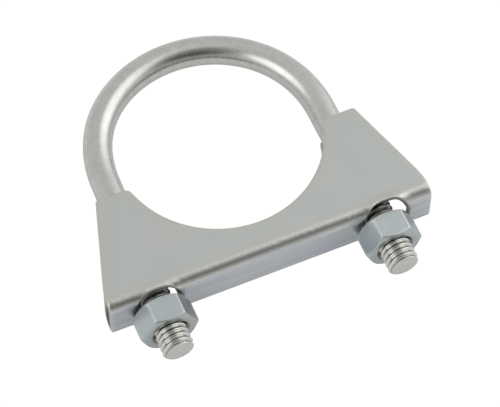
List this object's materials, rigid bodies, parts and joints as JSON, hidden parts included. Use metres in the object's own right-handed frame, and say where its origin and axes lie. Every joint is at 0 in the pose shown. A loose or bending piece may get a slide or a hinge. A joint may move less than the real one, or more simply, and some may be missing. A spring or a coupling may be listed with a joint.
{
  "type": "saddle u-bolt clamp",
  "caption": "Round-bar U-bolt with threaded legs, a folded sheet-steel saddle that slides on them, and hex nuts that draw it up to clamp a tube.",
  "frame": {"origin": "centre of the clamped tube, half way through the saddle's width", "axes": "+Z along the tube, +X along the saddle's length, -Y down the legs of the U-bolt towards the nuts"},
  "size_m": [0.0837, 0.0812, 0.0134],
  "materials": {
    "bright_zinc": "bright zinc-plated bar and rolled thread",
    "zinc_sheet": "satin zinc-plated sheet with a faint blue and yellow cast",
    "nut_zinc": "bluish satin zinc plating"
  },
  "bodies": {
    "u_bolt_body": {"u_bolt": "bright_zinc"},
    "saddle_body": {"saddle": "zinc_sheet"},
    "nut_left_body": {"nut_left": "nut_zinc"},
    "nut_right_body": {"nut_right": "nut_zinc"}
  },
  "joints": [
    {"name": "saddle_slide", "type": "slide", "parent": "u_bolt_body", "child": "saddle_body", "axis": [0, 1, 0], "range_m": [-0.005, 0.0075]},
    {"name": "nut_left_turn", "type": "hinge", "parent": "saddle_body", "child": "nut_left_body", "pos_m": [-0.0292, -0.0396, 0], "axis": [0, 1, 0], "range_deg": [-1275.59, 1913.39]},
    {"name": "nut_right_turn", "type": "hinge", "parent": "saddle_body", "child": "nut_right_body", "pos_m": [0.0292, -0.0396, 0], "axis": [0, 1, 0], "range_deg": [-1275.59, 1913.39]}
  ],
  "couplings": [
    {"joint": "nut_left_turn", "follows": "saddle_slide", "rad_per_m": 4452.7},
    {"joint": "nut_right_turn", "follows": "saddle_slide", "rad_per_m": 4452.7}
  ]
}
